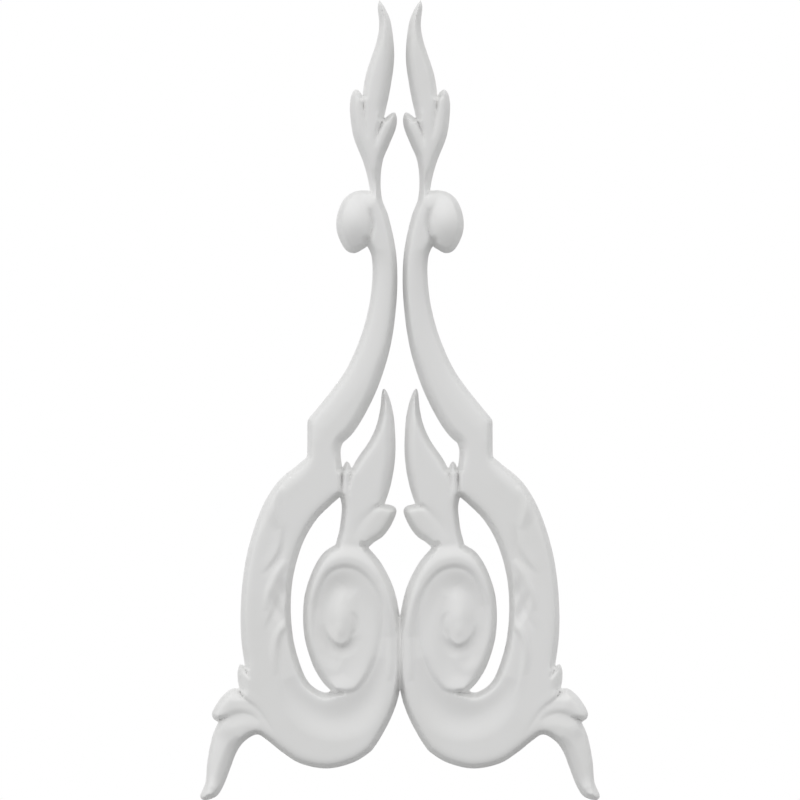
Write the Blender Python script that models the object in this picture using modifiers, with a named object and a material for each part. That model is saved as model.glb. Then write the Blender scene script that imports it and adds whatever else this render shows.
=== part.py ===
"""Scroll applique: two mirrored S-scrolls with leaves, moulded in one piece with a flat back.

The back lies in the XZ plane and the relief rises towards -Y. The origin is on the back, on
the mirror axis, where the two volutes are fused. One half is drawn as a smooth outline with
the strokes that carve its flat crown; a fine sheet takes its height from them, is thinned,
mirrored, given a body and cut off flat at the back.
"""

from collections import namedtuple
from math import radians, tan

import bmesh
import bpy
import numpy as np
from mathutils import Matrix

# Driving sizes in metres
HEIGHT = 0.400
WIDTH = 0.200
RELIEF = 0.016

# The drawing, in millimetres: out from the mirror axis, up from the origin, high over the back.
# The carving is drawn deeper than it is moulded, by the share CARVING_DEPTH.
DRAWN_HALF_WIDTH = 100.0
DRAWN_HEIGHT = 400.0
DRAWN_RELIEF = 16.0
EDGE_THICKNESS = 4.6
PLATEAU = 12.6
SHOULDER = 2.2
SHOULDER_BLEND = 1.2
WALL_DRAFT = radians(12.8)
CARVING_DEPTH = 0.62
OUTLINE_STEPS = 6
ROUTE_STEPS = 8

# The drawn sheet that is shaped, and what is left of it
SHEET_PITCH = 1.25
SHEET_MARGIN = 4.0
CUT_ALLOWANCE = 1.0
TRIANGLES_A_HALF = 3900
AXIS_TOLERANCE = 0.00002
MIRROR_MERGE = 0.00001
SHARP_ANGLE = radians(40.0)

PRIMED_WHITE = (0.86, 0.86, 0.85, 1.0)
PRIMED_ROUGHNESS = 0.55

# Each run of the outline is smooth and ends in a corner
OUTER_RUNS = {
    "volute, along the axis and over the top": (
        (11.9, -48.2), (9.4, -44.2), (5.1, -36.2), (1.9, -28.2), (0.3, -22.0), (-1.2, -12.0),
        (-1.4, 4.0), (0.2, 17.0), (2.5, 27.8), (5.6, 35.8), (10.2, 43.8), (15.8, 50.4)),
    "inner leaf, lower edge of the lobe": (
        (15.8, 50.4), (12.9, 53.0), (8.5, 56.0), (5.0, 60.6), (2.4, 66.0), (1.8, 69.2),
        (3.4, 71.2), (7.6, 72.3)),
    "inner leaf, axis side of the blade": (
        (7.6, 72.3), (5.1, 79.8), (3.0, 90.0), (2.2, 101.0), (3.1, 115.8), (5.6, 126.0),
        (7.9, 129.8), (9.1, 127.6), (9.9, 119.8), (11.7, 111.8), (15.3, 103.8), (20.8, 95.8),
        (24.2, 89.9)),
    "inner leaf, side tooth": ((24.2, 89.9), (25.4, 92.6), (26.5, 93.4), (27.6, 92.6), (28.8, 89.7)),
    "kink, inner side": ((28.8, 89.7), (29.5, 95.0), (29.6, 99.4), (28.7, 102.6)),
    "stem and stalk, axis side": (
        (28.7, 102.6), (23.7, 107.4), (18.2, 115.8), (12.2, 127.8), (7.8, 139.8), (4.6, 151.8),
        (2.3, 167.0), (1.3, 183.8), (2.2, 199.8), (5.7, 215.8), (8.9, 224.5), (9.7, 234.0),
        (8.6, 243.8), (5.4, 251.8), (2.3, 259.4), (1.5, 264.6), (2.4, 268.2)),
    "top leaf, upper edge of the inner lobe": ((2.4, 268.2), (4.6, 267.5), (8.1, 264.9)),
    "top leaf, axis side of the blade": (
        (8.1, 264.9), (4.9, 279.8), (2.9, 295.8), (4.3, 311.8), (7.2, 319.8), (10.3, 324.4)),
    "top leaf, outer side of the blade": (
        (10.3, 324.4), (11.2, 320.5), (10.4, 312.0), (11.7, 303.8), (14.3, 295.8), (16.9, 287.8),
        (18.3, 280.4), (18.7, 276.2)),
    "top leaf, outer lobe and stalk": (
        (18.7, 276.2), (20.2, 278.6), (22.6, 279.4), (24.6, 275.8), (25.0, 268.0), (23.3, 256.0),
        (18.6, 243.8), (16.3, 235.8), (15.0, 229.0)),
    "ball": (
        (15.0, 229.0), (19.5, 229.1), (24.3, 227.8), (28.7, 223.8), (31.6, 215.8), (31.4, 207.8),
        (27.6, 199.8), (23.0, 197.6), (18.3, 199.8), (16.3, 201.2)),
    "stem, outer side": (
        (16.3, 201.2), (14.2, 195.8), (13.8, 186.0), (15.4, 171.8), (19.7, 155.8), (26.8, 139.8),
        (35.2, 127.8), (44.9, 115.9), (46.2, 113.4), (46.3, 109.0), (46.4, 98.0), (46.9, 95.4)),
    "scroll, outer side": (
        (46.9, 95.4), (51.3, 91.8), (60.7, 83.8), (68.4, 71.8), (74.3, 55.8), (77.9, 39.8),
        (79.6, 21.8), (79.5, 6.0), (77.6, -9.0)),
    "foot, tooth": ((77.6, -9.0), (79.9, -8.0), (81.2, -11.5), (81.1, -16.2), (80.4, -20.0)),
    "foot, lobe": (
        (80.4, -20.0), (84.4, -20.3), (89.2, -24.3), (93.6, -31.2), (93.6, -34.8), (90.9, -37.0)),
    "foot, tail leaf and underside of the scroll": (
        (90.9, -37.0), (93.9, -44.2), (96.3, -56.2), (97.2, -66.5), (99.7, -73.0), (99.3, -75.4),
        (96.8, -76.0), (91.6, -73.9), (88.0, -68.2), (84.9, -60.2), (81.8, -52.2), (77.8, -46.6),
        (71.6, -43.2), (66.2, -46.2), (58.7, -52.2), (49.5, -57.8), (36.5, -60.2), (24.0, -57.4),
        (15.3, -52.2), (11.9, -48.2)),
}
OPENING_RUNS = {
    "inner side of the scroll": (
        (29.9, 75.7), (34.4, 71.8), (42.2, 63.8), (48.9, 51.8), (53.4, 35.8), (54.6, 19.8),
        (53.2, 3.8), (49.2, -10.2), (45.0, -17.8), (38.6, -21.9), (34.4, -21.5)),
    "outer side of the volute": (
        (34.4, -21.5), (39.2, -16.2), (43.7, -8.2), (47.4, 3.8), (48.5, 15.8), (47.4, 27.8),
        (43.3, 39.8), (38.2, 47.8), (32.2, 51.9)),
    "outer side of the inner leaf": ((32.2, 51.9), (30.2, 59.8), (29.1, 69.8), (29.9, 75.7)),
}

# A stroke raises the surface, or sinks it where its rise is negative, along a route of (out, up,
# width). Its two sides die away over the reaches left and right of its direction of travel.
Stroke = namedtuple("Stroke", "route rise left right section fade_in fade_out")

# A step is an edge along a route of (out, up, width, drop from left to right). The share of the
# drop given by left_share raises the left side, and the rest sinks the right side.
Step = namedtuple("Step", "route left right turn left_share")

# A swell is an oval rise or hollow, and a dome falls away evenly steeper from its top
Swell = namedtuple("Swell", "out up half_out half_up rise section")
Dome = namedtuple("Dome", "out up top fall_out fall_up")


def hollow(gone):
    """Section that is steep at the line and dies away outwards."""
    return np.clip(1.0 - gone, 0.0, 1.0) ** 2


def rounded(gone):
    """Section that is level at the line and at the reach."""
    left = np.clip(1.0 - gone, 0.0, 1.0)
    return left ** 2 * (3.0 - 2.0 * left)


def bead(gone):
    """Section that is level at the line and steep at the reach."""
    return 1.0 - np.clip(gone, 0.0, 1.0) ** 2


CARVING = {
    "top leaf, outer lobe from the blade": Stroke(
        ((18.6, 277.0, 1.0), (18.2, 270.0, 1.0), (17.4, 263.0, 1.0), (16.0, 253.0, 0.7)),
        -2.6, 3.0, 3.0, hollow, 0.0, 0.7),
    "top leaf, inner lobe from the blade": Stroke(
        ((7.6, 266.0, 1.0), (9.2, 262.0, 1.0), (11.0, 257.0, 1.0), (12.4, 249.0, 0.7)),
        -2.6, 3.0, 3.0, hollow, 0.0, 0.7),
    "stem, long outer slope": Stroke(
        ((14.6, 199.0, 0.7), (14.2, 187.0, 0.7), (15.8, 171.8, 0.8), (20.0, 155.8, 0.9),
         (27.2, 139.8, 1.0), (36.0, 127.8, 1.1), (46.0, 117.0, 1.0), (48.0, 100.0, 0.8)),
        -2.8, 12.0, 12.0, rounded, 0.15, 0.2),
    "ball, hollow that it fills": Swell(22.4, 214.2, 9.0, 17.4, -7.0, bead),
    "side tooth from the kink": Stroke(
        ((28.9, 91.0, 1.0), (29.0, 82.0, 1.0), (29.6, 74.0, 1.0)), -5.5, 2.4, 2.4, hollow, 0.0, 0.0),
    "side tooth from the blade": Stroke(
        ((24.2, 90.6, 1.0), (24.9, 86.0, 0.9), (25.2, 78.0, 0.8)), -2.4, 2.4, 2.4, hollow, 0.0, 0.8),
    "inner leaf, lobe from the blade": Stroke(
        ((7.0, 72.4, 0.8), (12.0, 70.4, 0.9), (17.0, 66.0, 1.2), (21.5, 60.0, 1.3), (24.0, 54.0, 1.0)),
        -2.8, 3.4, 3.0, hollow, 0.0, 0.5),
    "inner leaf, lobe from the volute": Stroke(
        ((14.6, 50.4, 1.0), (17.4, 50.8, 1.0), (20.2, 52.2, 0.8)), -3.0, 2.6, 2.6, hollow, 0.0, 0.8),
    "scroll, first scallop": Stroke(
        ((57.8, 60.0, 1.0), (58.8, 55.0, 1.0), (61.4, 47.5, 1.1), (66.0, 40.0, 1.0)),
        -1.8, 3.4, 3.0, hollow, 0.3, 0.4),
    "scroll, second scallop": Stroke(
        ((58.6, 34.0, 1.0), (60.6, 28.5, 1.0), (63.6, 21.5, 1.1), (67.4, 10.0, 1.0)),
        -1.8, 3.4, 3.0, hollow, 0.3, 0.4),
    "scroll, third scallop": Stroke(
        ((58.4, 12.0, 1.0), (61.2, 4.0, 1.0), (60.8, -6.0, 1.0), (57.6, -22.0, 1.0)),
        -1.6, 5.0, 3.0, hollow, 0.3, 0.5),
    "scroll, cove beside the volute": Stroke(
        ((55.0, -14.0, 0.6), (50.5, -24.0, 0.8), (43.0, -31.0, 1.0), (34.0, -34.4, 1.0),
         (24.0, -32.6, 1.0), (17.0, -26.0, 0.8), (12.8, -15.0, 0.6), (11.0, -4.0, 0.5)),
        -2.9, 12.0, 14.0, rounded, 0.3, 0.35),
    "foot, tooth from the scroll": Stroke(
        ((77.9, -7.6, 0.9), (76.4, -11.4, 1.0), (74.8, -16.0, 0.8)), -1.8, 2.4, 2.4, hollow, 0.0, 0.8),
    "foot, lobe from the tooth": Stroke(
        ((81.0, -19.4, 0.8), (77.6, -24.4, 1.0), (71.6, -29.6, 1.1), (65.6, -38.0, 1.0), (61.4, -46.0, 0.8)),
        -2.0, 3.2, 3.2, hollow, 0.0, 0.7),
    "foot, tail leaf from the lobe": Stroke(
        ((91.4, -37.4, 0.7), (87.4, -34.4, 1.0), (82.0, -31.8, 1.1), (75.0, -32.6, 1.1), (69.0, -37.0, 0.8)),
        -4.0, 4.0, 4.2, hollow, 0.0, 0.7),
    "foot, sunk below the scroll": Stroke(
        ((86.0, -26.0, 1.0), (88.0, -38.0, 1.0), (91.0, -54.0, 1.0), (95.0, -72.0, 0.8)),
        -1.8, 12.0, 12.0, rounded, 0.2, 0.1),
    "volute, rim": Stroke(
        ((5.2, 6.0, 0.6), (5.4, 16.0, 0.7), (7.4, 26.0, 0.8), (11.6, 35.6, 0.9), (17.6, 42.2, 1.0),
         (24.5, 45.0, 1.0), (31.0, 44.6, 1.0), (37.5, 40.4, 0.9), (42.0, 32.0, 0.7), (44.6, 22.0, 0.6)),
        4.0, 7.5, 15.0, rounded, 0.4, 0.45),
    "volute, edge of the inner whorl": Step(
        ((33.0, -22.0, 0.8, -3.0), (28.0, -21.6, 0.9, -3.2), (22.0, -20.0, 1.0, -2.8),
         (17.6, -14.6, 1.0, -2.2), (14.2, -7.0, 1.0, -1.4), (11.6, 1.0, 1.0, -0.8), (10.0, 10.0, 1.0, -0.4),
         (9.8, 20.0, 1.0, 0.2), (11.6, 28.6, 1.0, 0.9), (15.2, 35.2, 1.0, 1.4), (20.6, 40.0, 1.0, 1.7),
         (27.0, 41.7, 1.0, 1.8), (33.0, 40.4, 1.0, 1.8), (38.0, 35.8, 0.9, 1.7), (41.4, 27.0, 0.8, 1.5),
         (43.0, 17.0, 0.7, 1.3), (43.0, 8.0, 0.6, 0.9), (41.6, 0.0, 0.6, 0.0)),
        9.0, 12.0, 3.4, 0.0),
    "volute, groove along that edge": Stroke(
        ((28.0, -21.8, 1.0), (22.0, -20.4, 1.0), (17.0, -15.0, 1.0), (13.4, -8.0, 1.2), (10.8, 0.0, 1.4),
         (9.2, 10.0, 1.4), (9.2, 20.0, 1.4), (11.4, 28.0, 1.2), (15.6, 34.6, 1.0)),
        -0.9, 2.2, 3.2, hollow, 0.0, 0.3),
    "volute, bowl round the eye": Stroke(
        ((22.6, 27.0, 0.8), (28.0, 31.0, 1.0), (33.6, 28.4, 1.0), (37.0, 21.0, 1.0), (37.6, 12.0, 1.0),
         (37.0, 3.0, 0.9), (34.0, -4.0, 0.8), (29.0, -6.8, 0.8)),
        -1.6, 8.0, 8.0, rounded, 0.2, 0.2),
    "volute, inner whorl on the axis side": Swell(16.0, 0.0, 9.0, 30.0, 1.6, rounded),
    "volute, eye": Swell(29.0, 14.0, 9.0, 17.5, 5.1, rounded),
    "volute, foot of the eye": Swell(30.4, 6.5, 6.6, 8.6, 1.9, rounded),
    "volute, lip of the eye over the hook": Step(
        ((37.4, 12.0, 0.8, 0.0), (36.2, 8.0, 1.0, -1.4), (34.2, 5.0, 1.0, -2.4), (31.6, 2.9, 1.0, -3.2),
         (28.8, 2.1, 1.0, -3.4), (26.6, 3.2, 1.0, -3.0), (25.0, 5.6, 1.0, -1.8), (24.0, 9.0, 0.8, -0.6),
         (23.8, 13.0, 0.8, 0.0)),
        6.0, 6.0, 3.2, 1.0),
}

# The ball stands on the eased carving at its full height
BALL = {
    "ball": Dome(22.9, 212.3, 15.8, 0.060, 0.036),
    "ball from the stem": Stroke(
        ((14.2, 222.0, 0.8), (14.4, 217.0, 1.0), (13.8, 212.0, 1.0), (16.4, 200.6, 0.9)),
        -1.2, 3.0, 3.0, hollow, 0.45, 0.0),
}


def smooth_run(points, steps):
    """Catmull-Rom curve through the points, its end tangents aimed at the next point."""
    first = 2 * points[0] - points[1]
    last = 2 * points[-1] - points[-2]
    padded = np.vstack([first, points, last])
    samples = []
    for index in range(len(points) - 1):
        before, start, end, after = padded[index:index + 4]
        for step in range(steps):
            t = step / steps
            samples.append(0.5 * (
                2 * start + (end - before) * t
                + (2 * before - 5 * start + 4 * end - after) * t ** 2
                + (3 * start - before - 3 * end + after) * t ** 3))
    samples.append(points[-1])
    return np.array(samples)


def closed_loop(runs):
    """Join the runs of an outline into one closed loop of points."""
    pieces = [smooth_run(np.array(points), OUTLINE_STEPS)[:-1] for points in runs.values()]
    return np.vstack(pieces)


def distance_to_segments(out, up, starts, ends):
    """Least distance from each point to a set of segments."""
    best = np.full(out.shape, np.inf)
    for (start_out, start_up), (end_out, end_up) in zip(starts, ends):
        along_out = end_out - start_out
        along_up = end_up - start_up
        length_squared = along_out ** 2 + along_up ** 2
        share = ((out - start_out) * along_out + (up - start_up) * along_up) / length_squared
        share = np.clip(share, 0.0, 1.0)
        gap_out = out - start_out - share * along_out
        gap_up = up - start_up - share * along_up
        best = np.minimum(best, gap_out ** 2 + gap_up ** 2)
    return np.sqrt(best)


def inside_loop(out, up, loop):
    """Whether each point lies in the loop, by counting the edges that it crosses."""
    crossings = np.zeros(out.shape, dtype=int)
    for (start_out, start_up), (end_out, end_up) in zip(loop, np.roll(loop, -1, axis=0)):
        if start_up == end_up:
            continue
        straddles = (start_up > up) != (end_up > up)
        crossing = start_out + (up - start_up) / (end_up - start_up) * (end_out - start_out)
        crossings += straddles & (out < crossing)
    return crossings % 2 == 1


def signed_edge_distance(out, up):
    """Distance to the outline: positive on the material, negative off it."""
    outer = closed_loop(OUTER_RUNS)
    opening = closed_loop(OPENING_RUNS)
    starts = np.vstack([outer, opening])
    ends = np.vstack([np.roll(outer, -1, axis=0), np.roll(opening, -1, axis=0)])
    distance = distance_to_segments(out, up, starts, ends)
    material = inside_loop(out, up, outer) & ~inside_loop(out, up, opening)
    return np.where(material, distance, -distance)


def blurred(field, spread):
    """Gaussian blur of a field on the sheet, which is mirrored at the axis."""
    reach = int(3 * spread / SHEET_PITCH) + 1
    offsets = np.arange(-reach, reach + 1) * SHEET_PITCH
    kernel = np.exp(-0.5 * (offsets / spread) ** 2)
    kernel /= kernel.sum()
    joined = np.hstack([field[:, reach:0:-1], field])
    for axis in (0, 1):
        joined = np.apply_along_axis(np.convolve, axis, joined, kernel, mode="same")
    return joined[:, reach:]


def smooth_minimum(first, second, blend):
    """The lesser of two fields, rounded where they cross."""
    share = np.clip(0.5 + 0.5 * (second - first) / blend, 0.0, 1.0)
    return second + (first - second) * share - blend * share * (1 - share)


# How each point of the sheet lies to a route
Nearness = namedtuple("Nearness", "gap side width strength place")


def nearness(out, up, points):
    """Measure the sheet against a route: distance, side, and the route's own values there."""
    route = smooth_run(np.array([(*point, 1.0)[:4] for point in points]), ROUTE_STEPS)
    lengths = np.linalg.norm(np.diff(route[:, :2], axis=0), axis=1)
    travelled = np.concatenate([[0.0], np.cumsum(lengths)])
    gap = np.full(out.shape, np.inf)
    side = np.zeros(out.shape)
    width = np.ones(out.shape)
    strength = np.ones(out.shape)
    place = np.zeros(out.shape)
    for index, length in enumerate(lengths):
        start, end = route[index], route[index + 1]
        along = (end[:2] - start[:2]) / length
        gone = np.clip((out - start[0]) * along[0] + (up - start[1]) * along[1], 0.0, length)
        gap_out = out - start[0] - gone * along[0]
        gap_up = up - start[1] - gone * along[1]
        off = np.hypot(gap_out, gap_up)
        closer = off < gap
        gap = np.where(closer, off, gap)
        side = np.where(closer, along[0] * gap_up - along[1] * gap_out, side)
        width = np.where(closer, start[2] + (end[2] - start[2]) * gone / length, width)
        strength = np.where(closer, start[3] + (end[3] - start[3]) * gone / length, strength)
        place = np.where(closer, (travelled[index] + gone) / travelled[-1], place)
    return Nearness(gap, side, width, strength, place)


def stroked(out, up, height, stroke):
    """Raise or sink the surface along a stroke."""
    near = nearness(out, up, stroke.route)
    reach = np.where(near.side > 0, stroke.left, stroke.right) * near.width
    fade = np.ones(out.shape)
    if stroke.fade_in:
        fade = fade * np.clip(near.place / stroke.fade_in, 0.0, 1.0)
    if stroke.fade_out:
        fade = fade * np.clip((1 - near.place) / stroke.fade_out, 0.0, 1.0)
    return height + stroke.rise * stroke.section(near.gap / reach) * fade * (2 - fade)


def stepped(out, up, height, step):
    """Raise the one side of a step and sink the other."""
    near = nearness(out, up, step.route)
    turned = rounded(0.5 - np.copysign(near.gap, near.side) / step.turn)
    on_left = step.left_share * rounded(near.gap / (step.left * near.width))
    on_right = (step.left_share - 1.0) * rounded(near.gap / (step.right * near.width))
    return height + near.strength * (on_right + (on_left - on_right) * turned)


def swelled(out, up, height, swell):
    """Raise or sink an oval."""
    gone = np.hypot((out - swell.out) / swell.half_out, (up - swell.up) / swell.half_up)
    return height + swell.rise * swell.section(gone)


def domed(out, up, height, dome):
    """Set a dome into the surface."""
    fall = dome.fall_out * (out - dome.out) ** 2 + dome.fall_up * (up - dome.up) ** 2
    return np.maximum(height, dome.top - fall)


CARVED = {Stroke: stroked, Step: stepped, Swell: swelled, Dome: domed}


def relief_height(out, up):
    """Height of the relief over the back, falling below it off the outline."""
    distance = signed_edge_distance(out, up)
    material = np.clip(distance / SHEET_PITCH + 0.5, 0.0, 1.0)
    plain = EDGE_THICKNESS + (PLATEAU - EDGE_THICKNESS) * blurred(material, SHOULDER)
    carved = plain
    for item in CARVING.values():
        carved = CARVED[type(item)](out, up, carved, item)
    crown = plain + CARVING_DEPTH * (carved - plain)
    for item in BALL.values():
        crown = CARVED[type(item)](out, up, crown, item)
    return smooth_minimum(distance / tan(WALL_DRAFT), np.maximum(crown, EDGE_THICKNESS), SHOULDER_BLEND)


def sheet_mesh():
    """A fine sheet over one half, raised to the relief, trimmed round the outline, at true size."""
    outline = closed_loop(OUTER_RUNS)
    right, highest = outline.max(axis=0) + SHEET_MARGIN
    lowest = outline[:, 1].min() - SHEET_MARGIN
    columns = round(right / SHEET_PITCH)
    rows = round((highest - lowest) / SHEET_PITCH)
    fit = Matrix.Translation((right / 2, (lowest + highest) / 2, 0.0))
    fit = fit @ Matrix.Diagonal((right / 2, (highest - lowest) / 2, 1.0, 1.0))
    shaped = bmesh.new()
    bmesh.ops.create_grid(shaped, x_segments=columns, y_segments=rows, size=1.0, matrix=fit)
    places = np.array([vertex.co[:2] for vertex in shaped.verts])
    grid = places.reshape(rows + 1, columns + 1, 2)
    heights = relief_height(grid[:, :, 0], grid[:, :, 1]).ravel()
    for vertex, (out, up), height in zip(shaped.verts, places, heights):
        vertex.co = (out, -height, up)
    waste = [vertex for vertex in shaped.verts if vertex.co.y > 2 * SHEET_PITCH / tan(WALL_DRAFT)]
    bmesh.ops.delete(shaped, geom=waste, context="VERTS")
    geometry = [*shaped.verts, *shaped.edges, *shaped.faces]
    bmesh.ops.bisect_plane(
        shaped, geom=geometry, plane_co=(0.0, CUT_ALLOWANCE, 0.0), plane_no=(0.0, 1.0, 0.0),
        clear_outer=True)
    to_size = (WIDTH / 2 / DRAWN_HALF_WIDTH, RELIEF / DRAWN_RELIEF, HEIGHT / DRAWN_HEIGHT)
    bmesh.ops.scale(shaped, verts=shaped.verts, vec=to_size)
    mesh = bpy.data.meshes.new("relief_sheet")
    shaped.to_mesh(mesh)
    shaped.free()
    return mesh


def thinned_pair(mesh):
    """The half sheet with its triangles collapsed where it is flat, and its mirror image.

    Along the axis the sheet keeps all its points, so that the halves meet exactly.
    """
    sheet = bpy.data.objects.new("relief_sheet", mesh)
    bpy.context.scene.collection.objects.link(sheet)
    off_axis = sheet.vertex_groups.new(name="off_axis")
    off_axis.add([vertex.index for vertex in mesh.vertices if vertex.co.x > AXIS_TOLERANCE], 1.0, "ADD")
    thin = sheet.modifiers.new("Thin", "DECIMATE")
    thin.vertex_group = off_axis.name
    thin.ratio = TRIANGLES_A_HALF / (2 * len(mesh.polygons))
    mirror = sheet.modifiers.new("Mirror", "MIRROR")
    mirror.merge_threshold = MIRROR_MERGE
    graph = bpy.context.evaluated_depsgraph_get()
    result = bpy.data.meshes.new_from_object(sheet.evaluated_get(graph))
    bpy.data.objects.remove(sheet)
    bpy.data.meshes.remove(mesh)
    return result


def thickened(mesh):
    """Give the sheet a body that reaches straight back, well behind the back plane."""
    shaped = bmesh.new()
    shaped.from_mesh(mesh)
    bmesh.ops.triangulate(shaped, faces=shaped.faces)
    grown = bmesh.ops.extrude_face_region(shaped, geom=shaped.faces[:], use_keep_orig=True)
    moved = [item for item in grown["geom"] if isinstance(item, bmesh.types.BMVert)]
    bmesh.ops.translate(shaped, verts=moved, vec=(0.0, 2 * RELIEF, 0.0))
    bmesh.ops.recalc_face_normals(shaped, faces=shaped.faces)
    shaped.to_mesh(mesh)
    shaped.free()
    return mesh


def back_cutter():
    """Block over everything behind the back plane."""
    shaped = bmesh.new()
    bmesh.ops.create_cube(shaped, size=4 * HEIGHT)
    bmesh.ops.translate(shaped, verts=shaped.verts, vec=(0.0, 2 * HEIGHT, 0.0))
    mesh = bpy.data.meshes.new("back_cutter")
    shaped.to_mesh(mesh)
    shaped.free()
    cutter = bpy.data.objects.new("back_cutter", mesh)
    cutter.hide_render = True
    cutter.display_type = "WIRE"
    cutters = bpy.data.collections.new("cutters")
    bpy.context.scene.collection.children.link(cutters)
    cutters.objects.link(cutter)
    return cutter


def primed_white():
    """Factory primer: white with a soft sheen."""
    material = bpy.data.materials.new("primed_white")
    material.use_nodes = True
    shader = material.node_tree.nodes["Principled BSDF"]
    shader.inputs["Base Color"].default_value = PRIMED_WHITE
    shader.inputs["Roughness"].default_value = PRIMED_ROUGHNESS
    shader.inputs["Metallic"].default_value = 0.0
    return material


def clear_scene():
    """Remove every object that the scene starts with."""
    for thing in list(bpy.data.objects):
        bpy.data.objects.remove(thing)


def build_applique():
    """Build the applique in a collection of its own."""
    clear_scene()
    collection = bpy.data.collections.new("scroll_applique")
    bpy.context.scene.collection.children.link(collection)
    mesh = thickened(thinned_pair(sheet_mesh()))
    mesh.name = "scroll_applique"
    mesh.materials.append(primed_white())
    mesh.shade_smooth()
    mesh.set_sharp_from_angle(angle=SHARP_ANGLE)
    applique = bpy.data.objects.new("scroll_applique", mesh)
    collection.objects.link(applique)
    cut = applique.modifiers.new("Flat back", "BOOLEAN")
    cut.operation = "DIFFERENCE"
    cut.object = back_cutter()
    applique.modifiers.new("Triangles", "TRIANGULATE")


build_applique()
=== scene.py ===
"""Looks of the scroll applique: its fine relief, its primer and the studio.

The applique is one moulding, drawn as a half and mirrored. A fine sheet is laid over the half,
raised to the carved relief, trimmed to the outline, mirrored and closed with a flat back.
Drawn sizes are millimetres: out from the mirror axis and up from the joint of the volutes.
"""

import logging
from dataclasses import dataclass, field
from enum import Enum
from math import cos, radians, sin, tan

import bpy
import numpy as np
from numpy.typing import NDArray
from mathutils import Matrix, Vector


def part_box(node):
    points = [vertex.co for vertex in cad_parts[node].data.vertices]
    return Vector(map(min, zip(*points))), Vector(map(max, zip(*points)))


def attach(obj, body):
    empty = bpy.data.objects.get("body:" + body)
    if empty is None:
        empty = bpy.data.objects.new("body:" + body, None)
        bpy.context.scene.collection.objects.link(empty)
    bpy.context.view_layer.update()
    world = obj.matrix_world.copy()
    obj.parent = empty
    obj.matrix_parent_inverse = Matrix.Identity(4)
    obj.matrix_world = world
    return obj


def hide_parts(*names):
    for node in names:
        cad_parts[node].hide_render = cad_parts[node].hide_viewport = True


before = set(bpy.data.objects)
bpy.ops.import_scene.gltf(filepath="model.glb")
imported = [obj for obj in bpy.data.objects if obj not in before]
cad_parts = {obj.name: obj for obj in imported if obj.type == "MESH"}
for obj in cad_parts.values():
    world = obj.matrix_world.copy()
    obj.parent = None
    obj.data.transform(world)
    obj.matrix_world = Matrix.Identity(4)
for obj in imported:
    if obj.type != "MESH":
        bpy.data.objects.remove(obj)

Field = NDArray[np.float64]
Run = tuple[tuple[float, float], ...]
Route = tuple[tuple[float, ...], ...]

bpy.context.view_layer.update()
MILLIMETRE = 0.001
# Metres within which a sheet's vertices are level, and within which the halves join
SAME_LEVEL = 1e-7
AXIS_JOIN = 0.00001
NODE = "scroll_applique"
SLOT = "primed_white"


class Section(Enum):
    """Section of one side of a tool stroke, from its line out to its reach."""

    HOLLOW = "steep at the line, dying away outwards"
    STRAIGHT = "an even slope"
    ROUND = "level at the line and at the reach"

    def share(self, gone: Field) -> Field:
        """Height of the section at a share of the reach.

        Args:
            gone: How much of the reach is gone, 0 at the line.

        Returns:
            1 at the line and 0 from the reach outwards.
        """
        left = np.clip(1.0 - gone, 0.0, 1.0)
        if self is Section.HOLLOW:
            return left ** 2
        if self is Section.STRAIGHT:
            return left
        return left ** 2 * (3.0 - 2.0 * left)


HOLLOW, STRAIGHT, ROUND = Section.HOLLOW, Section.STRAIGHT, Section.ROUND


def smooth_run(points: Field, steps: int) -> Field:
    """Lay a smooth curve through a run of points.

    Args:
        points: The points, one a row.
        steps: Samples from each point to the next.

    Returns:
        The samples of a Catmull-Rom curve, with the last point.
    """
    first = 2 * points[0] - points[1]
    last = 2 * points[-1] - points[-2]
    padded = np.vstack([first, points, last])
    samples = []
    for index in range(len(points) - 1):
        before, start, end, after = padded[index:index + 4]
        for step in range(steps):
            t = step / steps
            samples.append(0.5 * (
                2 * start + (end - before) * t
                + (2 * before - 5 * start + 4 * end - after) * t ** 2
                + (3 * start - before - 3 * end + after) * t ** 3))
    samples.append(points[-1])
    return np.array(samples)


def smooth_least(first: Field, second: Field, blend: float) -> Field:
    """Take the lesser of two fields, rounded where they cross.

    Args:
        first: One field.
        second: The other field.
        blend: Difference of the fields within which they are blended.

    Returns:
        The blended field.
    """
    share = np.clip(0.5 + 0.5 * (second - first) / blend, 0.0, 1.0)
    return second + (first - second) * share - blend * share * (1.0 - share)


@dataclass
class Ground:
    """The sheet's points, in drawn millimetres."""

    out: Field
    up: Field

    def window(
            self, low_out: float, high_out: float, low_up: float,
            high_up: float) -> tuple[slice, slice]:
        """Find the part of the sheet that a box covers.

        Args:
            low_out: Least distance out.
            high_out: Greatest distance out.
            low_up: Lowest level.
            high_up: Highest level.

        Returns:
            The rows and columns of the sheet in the box.
        """
        first_column, last_column = np.searchsorted(self.out[0], (low_out, high_out))
        first_row, last_row = np.searchsorted(self.up[:, 0], (low_up, high_up))
        return slice(first_row, last_row + 1), slice(first_column, last_column + 1)


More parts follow.
